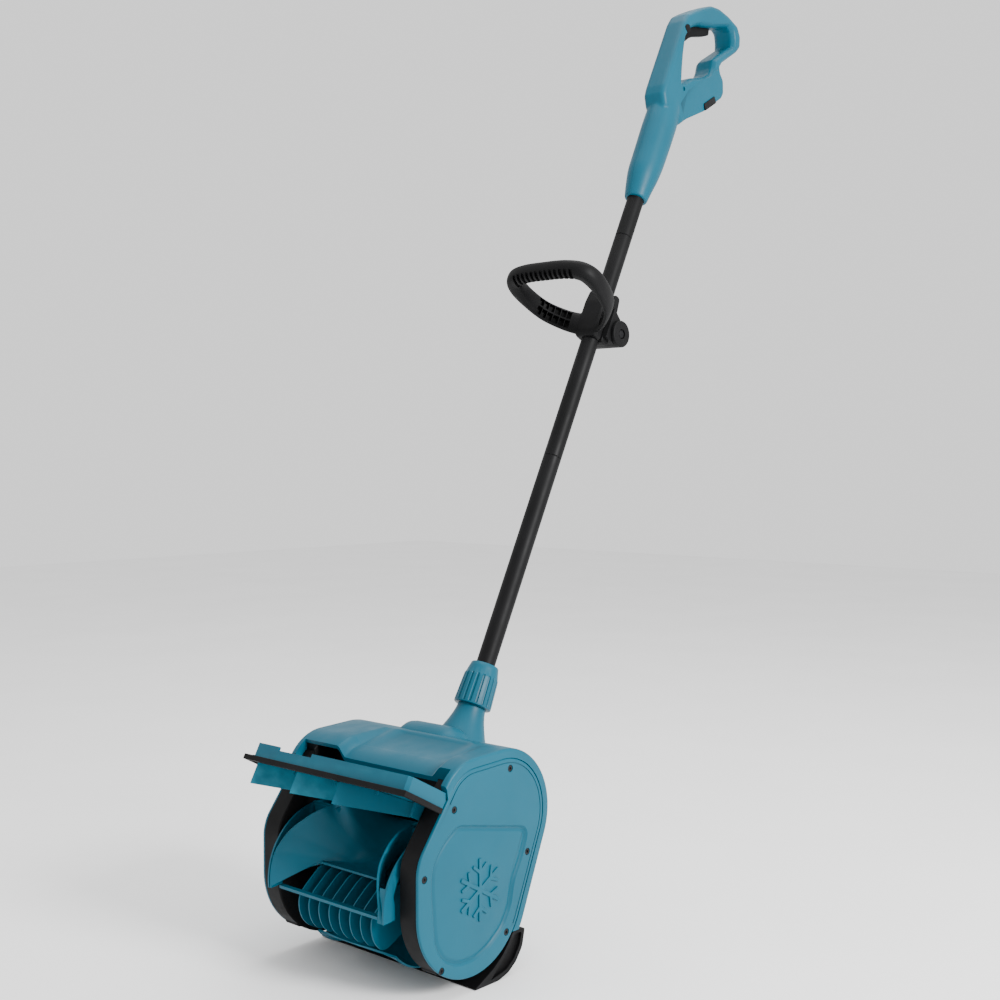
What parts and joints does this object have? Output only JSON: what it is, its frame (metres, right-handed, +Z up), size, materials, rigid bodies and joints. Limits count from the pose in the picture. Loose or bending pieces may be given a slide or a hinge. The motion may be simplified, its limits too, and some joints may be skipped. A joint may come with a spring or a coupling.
{
  "type": "snow blower",
  "caption": "Cordless power snow shovel: paddle rotor in a hooded head with scraper and throw deflector, jointed shaft, clamped fore grip and battery handle.",
  "frame": {"origin": "middle of the scraper blade's flat ground face", "axes": "+Z up, -Y to the front where the rotor takes in snow, +X to the right-hand side of a viewer at the front"},
  "size_m": [0.282, 0.8767, 1.3196],
  "materials": {
    "teal_plastic": "satin moulded",
    "black_plastic": "fine grain",
    "black_paint": "satin powder coat",
    "steel": "turned",
    "dark_steel": "blackened",
    "rubber": "moulded"
  },
  "bodies": {
    "chassis": {"hood_shell": "teal_plastic", "deflector_plate": "teal_plastic", "handle_left_shell": "teal_plastic", "handle_right_shell": "teal_plastic", "left_side_cover": "teal_plastic", "right_side_cover": "teal_plastic", "left_side_frame": "black_plastic", "right_side_frame": "black_plastic", "rotor_shroud": "black_plastic", "scraper_blade": "black_plastic", "deflector_front_strip": "black_plastic", "battery_terminal": "black_plastic", "power_switch": "black_plastic", "motor_bracket": "black_plastic", "lower_tube": "black_paint", "middle_tube": "black_paint", "upper_tube": "black_paint", "left_axle_bearing": "steel", "right_axle_bearing": "steel", "joint_sleeve_1": "steel", "joint_sleeve_2": "steel", "motor_can": "dark_steel", "left_cover_screw_1": "dark_steel", "left_cover_screw_2": "dark_steel", "left_cover_screw_3": "dark_steel", "left_cover_screw_4": "dark_steel", "left_cover_screw_5": "dark_steel", "left_cover_screw_6": "dark_steel", "right_cover_screw_1": "dark_steel", "right_cover_screw_2": "dark_steel", "right_cover_screw_3": "dark_steel", "right_cover_screw_4": "dark_steel", "right_cover_screw_5": "dark_steel", "right_cover_screw_6": "dark_steel", "drive_belt": "rubber", "power_cable": "rubber"},
    "rotor": {"rotor": "teal_plastic", "rotor_axle": "steel", "driven_pulley": "black_plastic"},
    "motor_drive": {"motor_shaft": "steel", "motor_pulley": "dark_steel"},
    "collar": {"collar_nut": "teal_plastic"},
    "vane_1": {"deflector_vane_1": "teal_plastic"},
    "vane_2": {"deflector_vane_2": "teal_plastic"},
    "vane_3": {"deflector_vane_3": "teal_plastic"},
    "foregrip": {"foregrip_loop": "black_plastic", "foregrip_clamp": "black_plastic", "clamp_bolt": "dark_steel"},
    "knob": {"wing_knob": "black_plastic"},
    "trigger": {"trigger": "black_plastic"},
    "lock_off": {"lock_off_button": "black_plastic"}
  },
  "joints": [
    {"name": "rotor_spin", "type": "hinge", "parent": "chassis", "child": "rotor", "pos_m": [0, -0.04, 0.106], "axis": [1, 0, 0], "continuous": true},
    {"name": "motor_spin", "type": "hinge", "parent": "chassis", "child": "motor_drive", "pos_m": [-0.119, 0.044, 0.216], "axis": [1, 0, 0], "continuous": true},
    {"name": "collar_turn", "type": "hinge", "parent": "chassis", "child": "collar", "pos_m": [0, 0.13237, 0.32101], "axis": [0, 0.451, 0.8925], "range_deg": [-90, 0]},
    {"name": "vane_2_turn", "type": "hinge", "parent": "chassis", "child": "vane_2", "pos_m": [-0.014, -0.10644, 0.23015], "axis": [0, 0.4695, 0.8829], "range_deg": [-30, 2]},
    {"name": "vane_1_turn", "type": "hinge", "parent": "chassis", "child": "vane_1", "pos_m": [-0.088, -0.10644, 0.23015], "axis": [0, 0.4695, 0.8829], "range_deg": [-30, 2]},
    {"name": "vane_3_turn", "type": "hinge", "parent": "chassis", "child": "vane_3", "pos_m": [0.06, -0.10644, 0.23015], "axis": [0, 0.4695, 0.8829], "range_deg": [-30, 2]},
    {"name": "foregrip_slide", "type": "slide", "parent": "chassis", "child": "foregrip", "axis": [0, 0.451, 0.8925], "range_m": [-0.15, 0.08]},
    {"name": "knob_turn", "type": "hinge", "parent": "foregrip", "child": "knob", "pos_m": [-0.03, 0.40093, 0.79257], "axis": [1, 0, 0], "continuous": true},
    {"name": "trigger_pull", "type": "hinge", "parent": "chassis", "child": "trigger", "pos_m": [0, 0.65346, 1.28119], "axis": [-1, 0, 0], "range_deg": [0, 6], "stiffness_Nm_per_rad": 0.5, "springref_deg": -17.19},
    {"name": "lock_off_push", "type": "slide", "parent": "chassis", "child": "lock_off", "axis": [1, 0, 0], "range_m": [-0.003, 0], "stiffness_N_per_m": 300, "springref_m": 0.002}
  ],
  "couplings": [
    {"joint": "motor_spin", "follows": "rotor_spin", "ratio": 3.2727},
    {"joint": "vane_1_turn", "follows": "vane_2_turn", "ratio": 1},
    {"joint": "vane_3_turn", "follows": "vane_2_turn", "ratio": 1}
  ]
}
